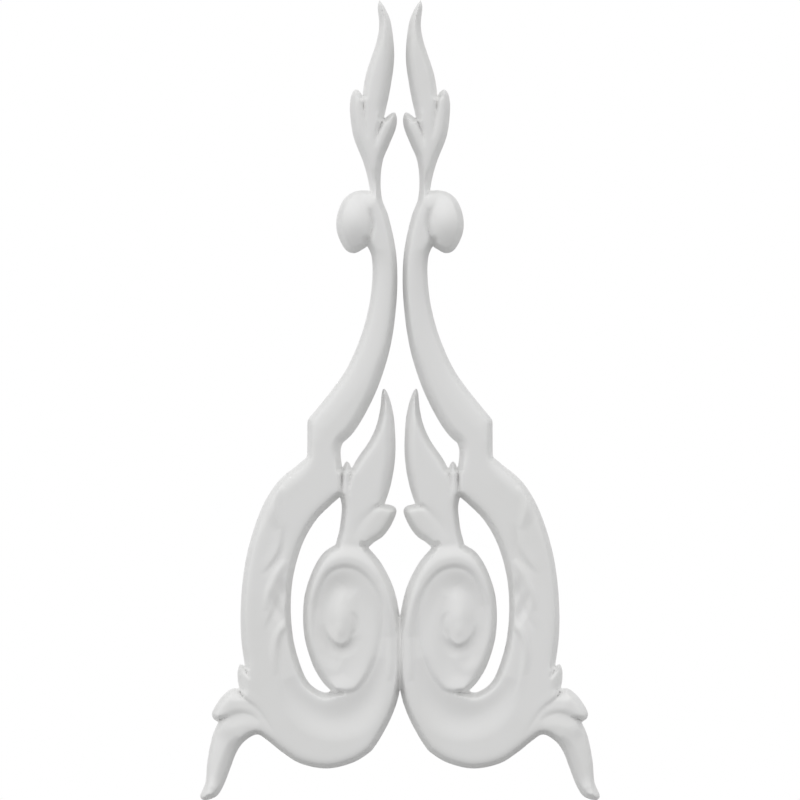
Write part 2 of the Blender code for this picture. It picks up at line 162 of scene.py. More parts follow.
@dataclass(frozen=True)
class Nearness:
    """How the points of a part of the sheet lie to a route.

    The gap is the distance off the route, and the side is positive on its left. The others are
    taken where the route is nearest: its width there, its strength there, and the place, which
    is the share of its length that is gone.
    """

    rows: slice
    columns: slice
    gap: Field
    side: Field
    width: Field
    place: Field
    strength: Field

    @classmethod
    def to(cls, ground: Ground, points: Route, reach: float, steps: int) -> "Nearness":
        """Measure the sheet's points against a route.

        Args:
            ground: The sheet's points.
            points: The route's points, each a place, a width and, unless it is 1, a strength.
            reach: How far off the route the sheet is measured, where the width is 1.
            steps: Samples from each point of the route to the next.

        Returns:
            The measures of the points within the reach.
        """
        route = smooth_run(np.array([(*point, 1.0)[:4] for point in points]), steps)
        reach = reach * route[:, 2].max()
        rows, columns = ground.window(
            route[:, 0].min() - reach, route[:, 0].max() + reach,
            route[:, 1].min() - reach, route[:, 1].max() + reach)
        out = ground.out[rows, columns]
        up = ground.up[rows, columns]
        lengths = np.linalg.norm(np.diff(route[:, :2], axis=0), axis=1)
        travelled = np.concatenate([[0.0], np.cumsum(lengths)])
        gap = np.full(out.shape, np.inf)
        side, place = np.zeros(out.shape), np.zeros(out.shape)
        width, strength = np.ones(out.shape), np.ones(out.shape)
        for index, length in enumerate(lengths):
            start, end = route[index], route[index + 1]
            along_out, along_up = (end[:2] - start[:2]) / length
            gone = np.clip((out - start[0]) * along_out + (up - start[1]) * along_up, 0.0, length)
            gap_out = out - start[0] - gone * along_out
            gap_up = up - start[1] - gone * along_up
            off = np.hypot(gap_out, gap_up)
            closer = off < gap
            gap = np.where(closer, off, gap)
            side = np.where(closer, along_out * gap_up - along_up * gap_out, side)
            width = np.where(closer, start[2] + (end[2] - start[2]) * gone / length, width)
            strength = np.where(closer, start[3] + (end[3] - start[3]) * gone / length, strength)
            place = np.where(closer, (travelled[index] + gone) / travelled[-1], place)
        return cls(rows, columns, gap, side, width, place, strength)


@dataclass(frozen=True)
class Stroke:
    """A stroke of the carver's tool along a route, which leaves a ridge or a groove.

    A point of the route holds its place, a share that widens or narrows the stroke there, and
    where the stroke's depth changes along it, the share of its rise. Left and right are seen
    along the route, and a fade is the share of its length over which the stroke sets in or
    dies away.
    """

    route: Route
    rise: float
    left: float
    right: float
    left_side: Section = HOLLOW
    right_side: Section = HOLLOW
    fade_in: float = 0.0
    fade_out: float = 0.0
    steps: int = 8

    def carve(self, ground: Ground, height: Field) -> None:
        """Raise or sink the relief along the stroke.

        Args:
            ground: The sheet's points.
            height: The relief over them, which is changed.
        """
        near = Nearness.to(ground, self.route, max(self.left, self.right), self.steps)
        on_left = self.left_side.share(near.gap / (self.left * near.width))
        on_right = self.right_side.share(near.gap / (self.right * near.width))
        shape = np.where(near.side > 0, on_left, on_right) * near.strength
        fade = np.ones(shape.shape)
        if self.fade_in:
            fade = fade * np.clip(near.place / self.fade_in, 0.0, 1.0)
        if self.fade_out:
            fade = fade * np.clip((1.0 - near.place) / self.fade_out, 0.0, 1.0)
        height[near.rows, near.columns] += self.rise * shape * fade * (2.0 - fade)


@dataclass(frozen=True)
class Step:
    """A step in the surface along a route, which dies away on both sides of it.

    A point of the route holds its place, a share of the reaches, and how much higher the left
    side is than the right side there. The left share is how much of that is raised on the
    left, and the rest is sunk on the right.
    """

    route: Route
    left: float
    right: float
    width: float
    left_share: float = 0.5
    steps: int = 8

    def carve(self, ground: Ground, height: Field) -> None:
        """Raise and sink the relief on the two sides of the step.

        Args:
            ground: The sheet's points.
            height: The relief over them, which is changed.
        """
        near = Nearness.to(ground, self.route, max(self.left, self.right), self.steps)
        away = np.copysign(near.gap, near.side)
        turn = np.clip(0.5 + away / self.width, 0.0, 1.0)
        turn = turn * turn * (3.0 - 2.0 * turn)
        on_left = self.left_share * ROUND.share(near.gap / (self.left * near.width))
        on_right = (self.left_share - 1.0) * ROUND.share(near.gap / (self.right * near.width))
        height[near.rows, near.columns] += near.strength * (on_right + (on_left - on_right) * turn)


@dataclass(frozen=True)
class Swell:
    """An oval swelling or hollow of the surface, turned by degrees from out towards up."""

    out: float
    up: float
    half_out: float
    half_up: float
    rise: float
    turn: float = 0.0

    def carve(self, ground: Ground, height: Field) -> None:
        """Raise or sink the relief over the oval.

        Args:
            ground: The sheet's points.
            height: The relief over them, which is changed.
        """
        reach = max(self.half_out, self.half_up)
        rows, columns = ground.window(
            self.out - reach, self.out + reach, self.up - reach, self.up + reach)
        across = ground.out[rows, columns] - self.out
        along = ground.up[rows, columns] - self.up
        lean = radians(self.turn)
        turned_across = across * cos(lean) + along * sin(lean)
        turned_along = along * cos(lean) - across * sin(lean)
        gone = np.hypot(turned_across / self.half_out, turned_along / self.half_up)
        height[rows, columns] += self.rise * ROUND.share(gone)


@dataclass(frozen=True)
class Ball:
    """The ball at the head of the stem: a dome that steepens evenly from its top.

    A fall is how far the dome falls a millimetre from its top, and grows as the square.
    """

    out: float
    up: float
    top: float
    reach: float
    fall_out: float
    fall_up: float
    blend: float

    def carve(self, ground: Ground, height: Field) -> None:
        """Set the ball into the relief.

        Args:
            ground: The sheet's points.
            height: The relief over them, which is changed.
        """
        rows, columns = ground.window(
            self.out - self.reach, self.out + self.reach, self.up - self.reach, self.up + self.reach)
        dome = (self.top - self.fall_out * (ground.out[rows, columns] - self.out) ** 2
                - self.fall_up * (ground.up[rows, columns] - self.up) ** 2)
        height[rows, columns] = -smooth_least(-height[rows, columns], -dome, self.blend)


Mark = Stroke | Step | Swell | Ball


@dataclass(frozen=True)
class Outline:
    """The outline of one half: smooth runs that end in corners.

    The reach is how far off the outline distances are measured.
    """

    outer: tuple[Run, ...]
    opening: tuple[Run, ...]
    steps: int = 8
    reach: float = 9.0

    def loop(self, runs: tuple[Run, ...]) -> Field:
        """Join runs into a closed loop.

        Args:
            runs: The runs in order round the loop.

        Returns:
            The loop's points.
        """
        return np.vstack([smooth_run(np.array(run), self.steps)[:-1] for run in runs])

    def distance(self, ground: Ground) -> Field:
        """Measure how far each point lies from the outline.

        Args:
            ground: The sheet's points.

        Returns:
            The distance, positive on the material, and no more than the reach.
        """
        outer = self.loop(self.outer)
        opening = self.loop(self.opening)
        nearest = np.full(ground.out.shape, self.reach)
        for loop in (outer, opening):
            for start, end in zip(loop, np.roll(loop, -1, axis=0)):
                self.near_edge(ground, nearest, start, end)
        material = self.inside(ground, outer) & ~self.inside(ground, opening)
        return np.where(material, nearest, -nearest)

    def near_edge(self, ground: Ground, nearest: Field, start: Field, end: Field) -> None:
        """Bring the distances up to date with one edge of the outline.

        Args:
            ground: The sheet's points.
            nearest: The least distances so far, which are changed.
            start: The edge's first point.
            end: The edge's last point.
        """
        low = np.minimum(start, end) - self.reach
        high = np.maximum(start, end) + self.reach
        rows, columns = ground.window(low[0], high[0], low[1], high[1])
        out = ground.out[rows, columns] - start[0]
        up = ground.up[rows, columns] - start[1]
        along = end - start
        share = np.clip((out * along[0] + up * along[1]) / (along @ along), 0.0, 1.0)
        gap = np.hypot(out - share * along[0], up - share * along[1])
        nearest[rows, columns] = np.minimum(nearest[rows, columns], gap)

    @staticmethod
    def inside(ground: Ground, loop: Field) -> NDArray[np.bool_]:
        """Test which points a loop goes round.

        Args:
            ground: The sheet's points.
            loop: The loop's points.

        Returns:
            True for the points inside.
        """
        crossings = np.zeros(ground.out.shape, dtype=int)
        levels = ground.up[:, 0]
        columns = ground.out[0]
        for start, end in zip(loop, np.roll(loop, -1, axis=0)):
            low, high = sorted((start[1], end[1]))
            rows = np.flatnonzero((levels >= low) & (levels < high))
            if not len(rows):
                continue
            crossing = start[0] + (levels[rows] - start[1]) / (end[1] - start[1]) * (end[0] - start[0])
            crossings[rows] += columns[None, :] < crossing[:, None]
        return crossings % 2 == 1


OUTLINE = Outline(
    outer=(
        # Volute: along the axis and over the top
        ((11.9, -48.2), (9.4, -44.2), (5.1, -36.2), (1.9, -28.2), (0.3, -22.0), (-1.2, -12.0),
         (-1.4, 4.0), (0.2, 17.0), (2.5, 27.8), (5.6, 35.8), (10.2, 43.8), (15.8, 50.4)),
        # Inner leaf: lower edge of the lobe
        ((15.8, 50.4), (12.9, 53.0), (8.5, 56.0), (5.0, 60.6), (2.4, 66.0), (1.8, 69.2),
         (3.4, 71.2), (7.6, 72.3)),
        # Inner leaf: axis side of the blade
        ((7.6, 72.3), (5.1, 79.8), (3.0, 90.0), (2.2, 101.0), (3.1, 115.8), (5.6, 126.0),
         (7.9, 129.8), (9.1, 127.6), (9.9, 119.8), (11.7, 111.8), (15.3, 103.8), (20.8, 95.8),
         (24.2, 89.9)),
        # Inner leaf: side tooth
        ((24.2, 89.9), (25.4, 92.6), (26.5, 93.4), (27.6, 92.6), (28.8, 89.7)),
        # Kink: inner side
        ((28.8, 89.7), (29.5, 95.0), (29.6, 99.4), (28.7, 102.6)),
        # Stem and stalk: axis side
        ((28.7, 102.6), (23.7, 107.4), (18.2, 115.8), (12.2, 127.8), (7.8, 139.8), (4.6, 151.8),
         (2.3, 167.0), (1.3, 183.8), (2.2, 199.8), (5.7, 215.8), (8.9, 224.5), (9.7, 234.0),
         (8.6, 243.8), (5.4, 251.8), (2.3, 259.4), (1.5, 264.6), (2.4, 268.2)),
        # Top leaf: upper edge of the inner lobe
        ((2.4, 268.2), (4.6, 267.5), (8.1, 264.9)),
        # Top leaf: axis side of the blade
        ((8.1, 264.9), (4.9, 279.8), (2.9, 295.8), (4.3, 311.8), (7.2, 319.8), (10.3, 324.4)),
        # Top leaf: outer side of the blade
        ((10.3, 324.4), (11.2, 320.5), (10.4, 312.0), (11.7, 303.8), (14.3, 295.8), (16.9, 287.8),
         (18.3, 280.4), (18.7, 276.2)),
        # Top leaf: outer lobe and stalk
        ((18.7, 276.2), (20.2, 278.6), (22.6, 279.4), (24.6, 275.8), (25.0, 268.0), (23.3, 256.0),
         (18.6, 243.8), (16.3, 235.8), (15.0, 229.0)),
        # Ball
        ((15.0, 229.0), (19.5, 229.1), (24.3, 227.8), (28.7, 223.8), (31.6, 215.8), (31.4, 207.8),
         (27.6, 199.8), (23.0, 197.6), (18.3, 199.8), (16.3, 201.2)),
        # Stem: outer side
        ((16.3, 201.2), (14.2, 195.8), (13.8, 186.0), (15.4, 171.8), (19.7, 155.8), (26.8, 139.8),
         (35.2, 127.8), (44.9, 115.9), (46.2, 113.4), (46.3, 109.0), (46.4, 98.0), (46.9, 95.4)),
        # Scroll: outer side
        ((46.9, 95.4), (51.3, 91.8), (60.7, 83.8), (68.4, 71.8), (74.3, 55.8), (77.9, 39.8),
         (79.6, 21.8), (79.5, 6.0), (77.6, -9.0)),
        # Foot: tooth
        ((77.6, -9.0), (79.9, -8.0), (81.2, -11.5), (81.1, -16.2), (80.4, -20.0)),
        # Foot: lobe
        ((80.4, -20.0), (84.4, -20.3), (89.2, -24.3), (93.6, -31.2), (93.6, -34.8), (90.9, -37.0)),
        # Foot: tail leaf, and the underside of the scroll
        ((90.9, -37.0), (93.9, -44.2), (96.3, -56.2), (97.2, -66.5), (99.7, -73.0), (99.3, -75.4),
         (96.8, -76.0), (91.6, -73.9), (88.0, -68.2), (84.9, -60.2), (81.8, -52.2), (77.8, -46.6),
         (71.6, -43.2), (66.2, -46.2), (58.7, -52.2), (49.5, -57.8), (36.5, -60.2), (24.0, -57.4),
         (15.3, -52.2), (11.9, -48.2)),
    ),
    opening=(
        # Inner side of the scroll
        ((29.9, 75.7), (34.4, 71.8), (42.2, 63.8), (48.9, 51.8), (53.4, 35.8), (54.6, 19.8),
         (53.2, 3.8), (49.2, -10.2), (45.0, -17.8), (38.6, -21.9), (34.4, -21.5)),
        # Outer side of the volute
        ((34.4, -21.5), (39.2, -16.2), (43.7, -8.2), (47.4, 3.8), (48.5, 15.8), (47.4, 27.8),
         (43.3, 39.8), (38.2, 47.8), (32.2, 51.9)),
        # Outer side of the inner leaf
        ((32.2, 51.9), (30.2, 59.8), (29.1, 69.8), (29.9, 75.7)),
    ),
)


@dataclass(frozen=True)
class Volute:
    """Carving of the volute: its rim, the bowl inside it and the eye."""

    def marks(self) -> list[Mark]:
        """List the marks that carve the volute.

        Returns:
            The marks, in the order of their cutting.
        """
        return [
            # Edge of the inner whorl: over the band at the foot, under the rim at the top
            Step(
                route=((33.0, -22.0, 0.8, -3.0), (28.0, -21.6, 0.9, -3.2), (22.0, -20.0, 1.0, -2.8),
                       (17.6, -14.6, 1.0, -2.2), (14.2, -7.0, 1.0, -1.4), (11.6, 1.0, 1.0, -0.8),
                       (10.0, 10.0, 1.0, -0.4), (9.8, 20.0, 1.0, 0.2), (11.6, 28.6, 1.0, 0.9),
                       (15.2, 35.2, 1.0, 1.4), (20.6, 40.0, 1.0, 1.7), (27.0, 41.7, 1.0, 1.8),
                       (33.0, 40.4, 1.0, 1.8), (38.0, 35.8, 0.9, 1.7), (41.4, 27.0, 0.8, 1.5),
                       (43.0, 17.0, 0.7, 1.3), (43.0, 8.0, 0.6, 0.9), (41.6, 0.0, 0.6, 0.0)),
                left=9.0, right=12.0, width=3.4, left_share=0.0),
            # Soft groove along that edge
            Stroke(
                route=((28.0, -21.8, 1.0, 1.0), (22.0, -20.4, 1.0, 1.0), (17.0, -15.0, 1.0, 1.0),
                       (13.4, -8.0, 1.2, 0.8), (10.8, 0.0, 1.4, 0.7), (9.2, 10.0, 1.4, 0.8),
                       (9.2, 20.0, 1.4, 0.9), (11.4, 28.0, 1.2, 0.9), (15.6, 34.6, 1.0, 0.9),
                       (21.0, 39.2, 0.9, 0.8), (27.2, 40.8, 0.9, 0.8), (33.0, 39.4, 0.9, 0.8),
                       (37.4, 35.0, 0.9, 0.8), (40.8, 26.6, 0.9, 0.8), (42.4, 17.0, 0.8, 0.7),
                       (42.4, 8.0, 0.8, 0.3)),
                rise=-1.2, left=2.0, right=3.0, fade_out=0.1),
            # Bead along the axis side of the rim
            Stroke(
                route=((5.2, -16.0, 0.8), (4.8, -6.0, 1.0), (4.6, 4.0, 1.0), (5.0, 14.0, 1.0),
                       (6.6, 24.0, 1.0), (10.0, 33.0, 0.9)),
                rise=1.3, left=3.0, right=3.2, left_side=ROUND, right_side=ROUND, fade_in=0.2,
                fade_out=0.3),
            # Rim
            Stroke(
                route=((5.2, 6.0, 0.6), (5.4, 16.0, 0.7), (7.4, 26.0, 0.8), (11.6, 35.6, 0.9),
                       (17.6, 42.2, 1.0), (24.5, 45.0, 1.0), (31.0, 44.6, 1.0), (37.5, 40.4, 0.9),
                       (42.0, 32.0, 0.7), (44.6, 22.0, 0.6)),
                rise=4.0, left=7.5, right=15.0, left_side=ROUND, right_side=ROUND, fade_in=0.4,
                fade_out=0.45),
            # Bowl round the eye
            Stroke(
                route=((22.6, 27.0, 0.8), (28.0, 31.0, 1.0), (33.6, 28.4, 1.0), (37.0, 21.0, 1.0),
                       (37.6, 12.0, 1.0), (37.0, 3.0, 0.9), (34.0, -4.0, 0.8), (29.0, -6.8, 0.8)),
                rise=-2.4, left=8.0, right=7.0, left_side=ROUND, right_side=ROUND, fade_in=0.2,
                fade_out=0.2),
            # Inner whorl on the axis side, and the eye with its foot
            Swell(out=16.0, up=0.0, half_out=9.0, half_up=30.0, rise=1.6),
            Swell(out=29.0, up=14.0, half_out=9.0, half_up=17.5, rise=5.1),
            Swell(out=30.4, up=6.5, half_out=6.6, half_up=8.6, rise=1.9),
            # Lip of the eye over the hook
            Step(
                route=((37.6, 13.0, 0.8, 0.0), (36.2, 8.0, 1.0, -2.2), (34.2, 4.8, 1.0, -3.8),
                       (31.6, 2.6, 1.0, -5.0), (28.8, 1.8, 1.0, -5.4), (26.6, 3.0, 1.0, -4.6),
                       (25.0, 5.2, 1.0, -2.6), (24.0, 9.0, 0.8, -0.6), (23.8, 13.0, 0.8, 0.0)),
                left=7.0, right=5.0, width=2.2, left_share=0.6),
            # Return of the whorl beside the eye
            Stroke(
                route=((24.6, 6.0, 0.8), (22.2, 10.0, 1.0), (22.2, 15.0, 1.0), (24.4, 18.6, 0.8)),
                rise=-1.2, left=2.4, right=2.4, left_side=ROUND, right_side=ROUND, fade_in=0.3,
                fade_out=0.4),
        ]


@dataclass(frozen=True)
class Scroll:
    """Carving of the scroll's band, from the kink round to the volute."""

    def marks(self) -> list[Mark]:
        """List the marks that carve the scroll.

        Returns:
            The marks, in the order of their cutting.
        """
        return [
            # First scallop: its edge and the ridge below it
            Step(
                route=((58.0, 63.0, 0.8, 0.0), (58.8, 57.0, 1.0, 1.4), (59.8, 50.4, 1.0, 2.4),
                       (62.2, 45.2, 1.0, 2.4), (65.4, 41.0, 1.0, 1.4), (69.0, 37.0, 0.8, 0.0)),
                left=6.0, right=5.0, width=2.6, left_share=0.4),
            Stroke(
                route=((56.5, 44.6, 0.8), (59.3, 40.8, 1.0), (62.6, 34.6, 1.0), (65.4, 27.6, 1.0),
                       (67.2, 19.0, 0.8)),
                rise=1.9, left=3.2, right=3.4, left_side=ROUND, right_side=ROUND, fade_in=0.3,
                fade_out=0.5),
            # Fold down from the kink, rounded outside and steep inside
            Stroke(
                route=((58.6, 81.6, 0.8), (61.4, 78.0, 1.0), (62.8, 73.0, 1.0), (62.0, 67.0, 1.0),
                       (59.6, 60.0, 0.8)),
                rise=2.2, left=6.0, right=4.4, left_side=ROUND, fade_in=0.2, fade_out=0.7),
            # Second scallop: the hollow inside it and its edge
            Swell(out=58.6, up=28.0, half_out=4.4, half_up=9.0, rise=-2.2),
            Swell(out=61.0, up=20.0, half_out=4.2, half_up=11.0, rise=-2.6, turn=-18.0),
            Step(
                route=((59.4, 34.0, 0.8, 0.0), (61.0, 27.0, 1.0, 1.2), (63.0, 20.4, 1.0, 1.8),
                       (65.4, 14.6, 1.0, 1.2), (67.6, 9.0, 0.8, 0.0)),
                left=6.0, right=5.0, width=2.6, left_share=0.4),
            # Third scallop: its ridge and its edge
            Stroke(
                route=((55.6, 14.6, 0.8), (59.6, 10.0, 1.0), (62.0, 4.0, 1.0), (62.8, -4.0, 1.0),
                       (62.0, -13.0, 0.8)),
                rise=1.1, left=3.0, right=3.0, left_side=ROUND, right_side=ROUND, fade_in=0.3,
                fade_out=0.4),
            Step(
                route=((56.6, 11.0, 0.8, 0.8), (59.2, 7.4, 1.0, 1.8), (60.6, 1.6, 1.0, 1.8),
                       (60.6, -6.0, 1.0, 1.2), (59.2, -16.0, 0.9, 0.6), (56.0, -26.0, 0.8, 0.0)),
                left=6.0, right=6.0, width=2.4),
            # Broad rounding of the scroll's shoulder under the kink
            Stroke(
                route=((47.0, 97.0, 0.8), (54.0, 91.4, 1.0), (63.0, 83.4, 1.0), (70.0, 72.0, 0.9),
                       (76.0, 56.0, 0.7)),
                rise=-2.6, left=9.0, right=9.0, left_side=ROUND, right_side=ROUND, fade_in=0.2,
                fade_out=0.4),
            # Cove between the band's underside and the volute
            Stroke(
                route=((55.0, -14.0, 0.6), (50.5, -24.0, 0.8), (43.0, -31.0, 1.0), (34.0, -34.4, 1.0),
                       (24.0, -32.6, 1.0), (17.0, -26.0, 0.8), (12.8, -15.0, 0.6), (11.0, -4.0, 0.5)),
                rise=-2.9, left=12.0, right=12.0, left_side=ROUND, right_side=ROUND, fade_in=0.3,
                fade_out=0.35),
        ]


@dataclass(frozen=True)
class Foot:
    """Carving of the foot: its tooth, its lobe and the tail leaf."""

    def marks(self) -> list[Mark]:
        """List the marks that carve the foot.

        Returns:
            The marks, in the order of their cutting.
        """
        return [
            # Crease behind the tooth
            Stroke(
                route=((78.2, -7.8, 1.1), (76.8, -11.0, 1.1), (75.0, -15.0, 0.9)),
                rise=-1.6, left=2.0, right=2.0, fade_out=0.9),
            # Groove and step from the notch under the tooth, down across the band
            Stroke(
                route=((80.6, -19.8, 0.8), (78.8, -23.0, 0.9), (76.2, -25.6, 1.0), (72.4, -28.2, 1.0),
                       (69.0, -32.0, 1.0), (65.0, -38.0, 0.9), (61.6, -43.6, 0.8)),
                rise=-0.6, left=2.6, right=3.2, fade_out=0.75),
            Step(
                route=((80.6, -19.8, 0.8, -1.6), (78.8, -23.0, 0.9, -1.8), (76.2, -25.6, 1.0, -1.6),
                       (72.4, -28.2, 1.0, -1.1), (69.0, -32.0, 1.0, -0.6), (65.0, -38.0, 0.9, -0.2),
                       (61.6, -43.6, 0.8, 0.0)),
                left=8.0, right=6.0, width=2.2, left_share=0.8),
            # Rounding of the tooth, and of the two sides of the tail leaf
            Stroke(
                route=((81.6, -8.0, 0.9), (82.2, -14.0, 1.0), (81.2, -20.0, 1.0)),
                rise=-4.6, left=6.5, right=6.5, left_side=ROUND, right_side=ROUND),
            Stroke(
                route=((92.5, -38.0, 0.8), (95.5, -46.0, 1.0), (97.5, -58.0, 1.0),
                       (98.6, -68.0, 0.8)),
                rise=-5.0, left=10.0, right=10.0, left_side=ROUND, right_side=ROUND, fade_in=0.2,
                fade_out=0.2),
            Stroke(
                route=((78.5, -44.5, 0.8), (82.6, -51.0, 1.0), (86.4, -60.0, 1.0),
                       (90.4, -70.0, 0.8)),
                rise=-3.6, left=5.5, right=5.5, left_side=ROUND, right_side=ROUND, fade_in=0.3,
                fade_out=0.2),
            # Valley between the lobe and the tail leaf
            Stroke(
                route=((91.6, -37.2, 0.8), (88.8, -35.6, 1.0), (84.0, -33.0, 1.0), (79.0, -31.8, 1.0),
                       (74.0, -33.0, 0.9), (69.4, -36.4, 0.8)),
                rise=-2.2, left=7.0, right=3.2, left_side=ROUND, fade_out=0.7),
            # Broad hollow down the tail leaf
            Stroke(
                route=((88.0, -38.0, 0.6), (89.6, -46.0, 1.0), (91.6, -56.0, 1.0),
                       (95.0, -72.0, 0.8)),
                rise=-1.8, left=12.0, right=12.0, left_side=ROUND, right_side=ROUND, fade_in=0.3,
                fade_out=0.1),
        ]


@dataclass(frozen=True)
class InnerLeaf:
    """Carving of the inner leaf: blade, side tooth and lobe."""

    def marks(self) -> list[Mark]:
        """List the marks that carve the inner leaf.

        Returns:
            The marks, in the order of their cutting.
        """
        return [
            # Rounding of the two sides of the blade
            Stroke(
                route=((6.4, 73.0, 0.8), (4.6, 82.0, 1.0), (3.0, 92.0, 1.0), (2.4, 102.0, 1.0),
                       (3.2, 114.0, 0.9), (5.6, 125.0, 0.7)),
                rise=-4.6, left=5.5, right=5.5, left_side=ROUND, right_side=ROUND, fade_in=0.1,
                fade_out=0.2),
            Stroke(
                route=((23.6, 92.0, 0.7), (19.0, 98.0, 0.9), (14.8, 104.6, 1.0), (11.4, 112.6, 1.0),
                       (9.6, 121.0, 0.8)),
                rise=-3.2, left=4.0, right=4.0, left_side=ROUND, right_side=ROUND, fade_in=0.15,
                fade_out=0.2),
            # Crease between the leaf and the scroll
            Stroke(
                route=((28.9, 91.0, 0.9), (29.0, 83.0, 1.0), (29.6, 75.0, 1.0)),
                rise=-3.6, left=2.4, right=2.4),
            # Crease between the side tooth and the blade
            Stroke(
                route=((24.2, 90.4, 0.9), (25.0, 87.0, 0.9), (25.4, 82.0, 0.8), (25.0, 76.0, 0.6)),
                rise=-2.2, left=2.2, right=1.8, fade_out=0.8),
            # Crease between the lobe and the blade
            Stroke(
                route=((7.2, 72.4, 0.8), (11.6, 70.6, 0.9), (17.0, 66.2, 1.2), (21.0, 61.0, 1.4),
                       (24.0, 55.0, 1.2)),
                rise=-0.9, left=3.4, right=3.4, right_side=ROUND, fade_out=0.7),
        ]


@dataclass(frozen=True)
class Stem:
    """Carving of the stem: its outer slope, its axis side and the seat of the ball."""

    def marks(self) -> list[Mark]:
        """List the marks that carve the stem.

        Returns:
            The marks, in the order of their cutting.
        """
        return [
            # Long outer slope
            Stroke(
                route=((14.6, 199.0, 0.8), (14.2, 187.0, 0.8), (15.8, 171.8, 0.9), (20.0, 155.8, 1.0),
                       (27.2, 139.8, 1.0), (36.0, 127.8, 1.0), (45.8, 116.0, 1.0),
                       (47.4, 104.0, 0.8)),
                rise=-2.6, left=12.0, right=12.0, left_side=ROUND, right_side=ROUND, fade_in=0.1,
                fade_out=0.15),
            # Hollow that the ball fills
            Swell(out=24.0, up=212.0, half_out=11.0, half_up=22.0, rise=-9.0),
            # Slope over the ball up to the stalk
            Stroke(
                route=((10.5, 231.5, 0.8), (16.5, 231.0, 1.0), (22.0, 230.5, 1.0),
                       (27.5, 227.5, 0.9)),
                rise=-7.0, left=10.0, right=11.0, left_side=ROUND, right_side=ROUND, fade_in=0.5,
                fade_out=0.1),
            # Rounding of the axis side
            Stroke(
                route=((29.8, 92.0, 0.7), (29.4, 101.0, 1.0), (23.7, 107.4, 1.0), (18.2, 115.8, 1.0),
                       (12.2, 127.8, 1.0), (7.8, 139.8, 1.0), (4.6, 151.8, 0.8)),
                rise=-4.8, left=5.0, right=5.0, left_side=ROUND, right_side=ROUND, fade_in=0.15,
                fade_out=0.3),
        ]


@dataclass(frozen=True)
class Knob:
    """The ball on the head of the stem, which stands at its full height."""

    def marks(self) -> list[Mark]:
        """List the ball, the crease beside it and the pocket under it.

        Returns:
            The marks, in the order of their cutting.
        """
        return [
            Ball(out=22.9, up=212.3, top=15.9, reach=22.0, fall_out=0.060, fall_up=0.036, blend=1.0),
            Stroke(
                route=((14.6, 220.0, 0.8), (14.2, 216.0, 1.0), (13.8, 211.0, 1.0), (15.2, 205.0, 1.0),
                       (16.6, 200.8, 1.2)),
                rise=-2.6, left=3.2, right=2.4, fade_in=0.5),
            Swell(out=16.8, up=202.6, half_out=3.4, half_up=4.4, rise=-3.5),
        ]


@dataclass(frozen=True)
class TopLeaf:
    """Carving of the top leaf: blade and two lobes."""

    def marks(self) -> list[Mark]:
        """List the marks that carve the top leaf.

        Returns:
            The marks, in the order of their cutting.
        """
        return [
            # Rounding of the blade's axis side
            Stroke(
                route=((8.0, 266.0, 0.9), (4.9, 279.8, 1.0), (2.9, 295.8, 1.0), (4.0, 310.0, 0.8)),
                rise=-3.6, left=5.5, right=5.5, left_side=ROUND, right_side=ROUND, fade_in=0.1,
                fade_out=0.2),
            # Creases between the blade and the two lobes
            Stroke(
                route=((18.6, 276.8, 0.8), (18.2, 270.0, 0.9), (17.4, 263.0, 0.9),
                       (16.0, 254.0, 0.7)),
                rise=-2.4, left=3.0, right=3.0, fade_out=0.75),
            Stroke(
                route=((7.8, 265.4, 0.8), (9.2, 262.0, 0.9), (11.0, 257.0, 0.9), (12.4, 250.0, 0.7)),
                rise=-2.4, left=3.0, right=3.0, fade_out=0.75),
        ]


